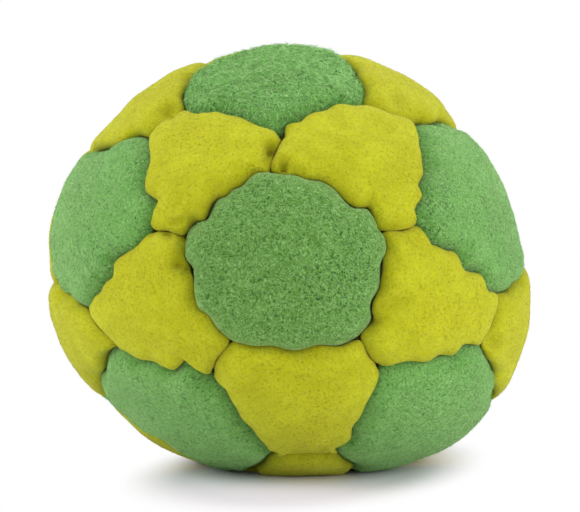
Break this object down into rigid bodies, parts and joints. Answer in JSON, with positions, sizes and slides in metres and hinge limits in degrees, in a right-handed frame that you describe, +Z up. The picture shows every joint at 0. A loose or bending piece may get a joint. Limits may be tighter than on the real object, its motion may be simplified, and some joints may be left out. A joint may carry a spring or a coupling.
{
  "type": "footbag",
  "caption": "Hand-sewn round footbag of pentagon and hexagon suede panels, filled with sand and resting on its own flattened base.",
  "frame": {"origin": "on the plane the bag rests on, under the middle of its outline", "axes": "+Z up, -Y out of the front pentagon panel, +X to the right as the front panel is looked at"},
  "size_m": [0.0522, 0.0512, 0.0452],
  "materials": {
    "green_suede": "matt short-napped synthetic suede, mottled, paler at grazing angles",
    "yellow_suede": "matt short-napped synthetic suede, smoother than the green",
    "spun_thread": "matt spun sewing thread, hidden in the creases",
    "dry_sand": "dry grains, closed in by the panels"
  },
  "bodies": {
    "root": {"pentagon_panel_front": "green_suede", "pentagon_panel_fore_1": "green_suede", "pentagon_panel_fore_2": "green_suede", "pentagon_panel_fore_3": "green_suede", "pentagon_panel_fore_4": "green_suede", "pentagon_panel_fore_5": "green_suede", "pentagon_panel_aft_1": "green_suede", "pentagon_panel_aft_2": "green_suede", "pentagon_panel_aft_3": "green_suede", "pentagon_panel_aft_4": "green_suede", "pentagon_panel_aft_5": "green_suede", "pentagon_panel_back": "green_suede", "hexagon_panel_front_1": "yellow_suede", "hexagon_panel_front_2": "yellow_suede", "hexagon_panel_front_3": "yellow_suede", "hexagon_panel_front_4": "yellow_suede", "hexagon_panel_front_5": "yellow_suede", "hexagon_panel_fore_1": "yellow_suede", "hexagon_panel_fore_2": "yellow_suede", "hexagon_panel_fore_3": "yellow_suede", "hexagon_panel_fore_4": "yellow_suede", "hexagon_panel_fore_5": "yellow_suede", "hexagon_panel_aft_1": "yellow_suede", "hexagon_panel_aft_2": "yellow_suede", "hexagon_panel_aft_3": "yellow_suede", "hexagon_panel_aft_4": "yellow_suede", "hexagon_panel_aft_5": "yellow_suede", "hexagon_panel_back_1": "yellow_suede", "hexagon_panel_back_2": "yellow_suede", "hexagon_panel_back_3": "yellow_suede", "hexagon_panel_back_4": "yellow_suede", "hexagon_panel_back_5": "yellow_suede", "seam_thread": "spun_thread", "sand_filling": "dry_sand"}
  },
  "joints": []
}
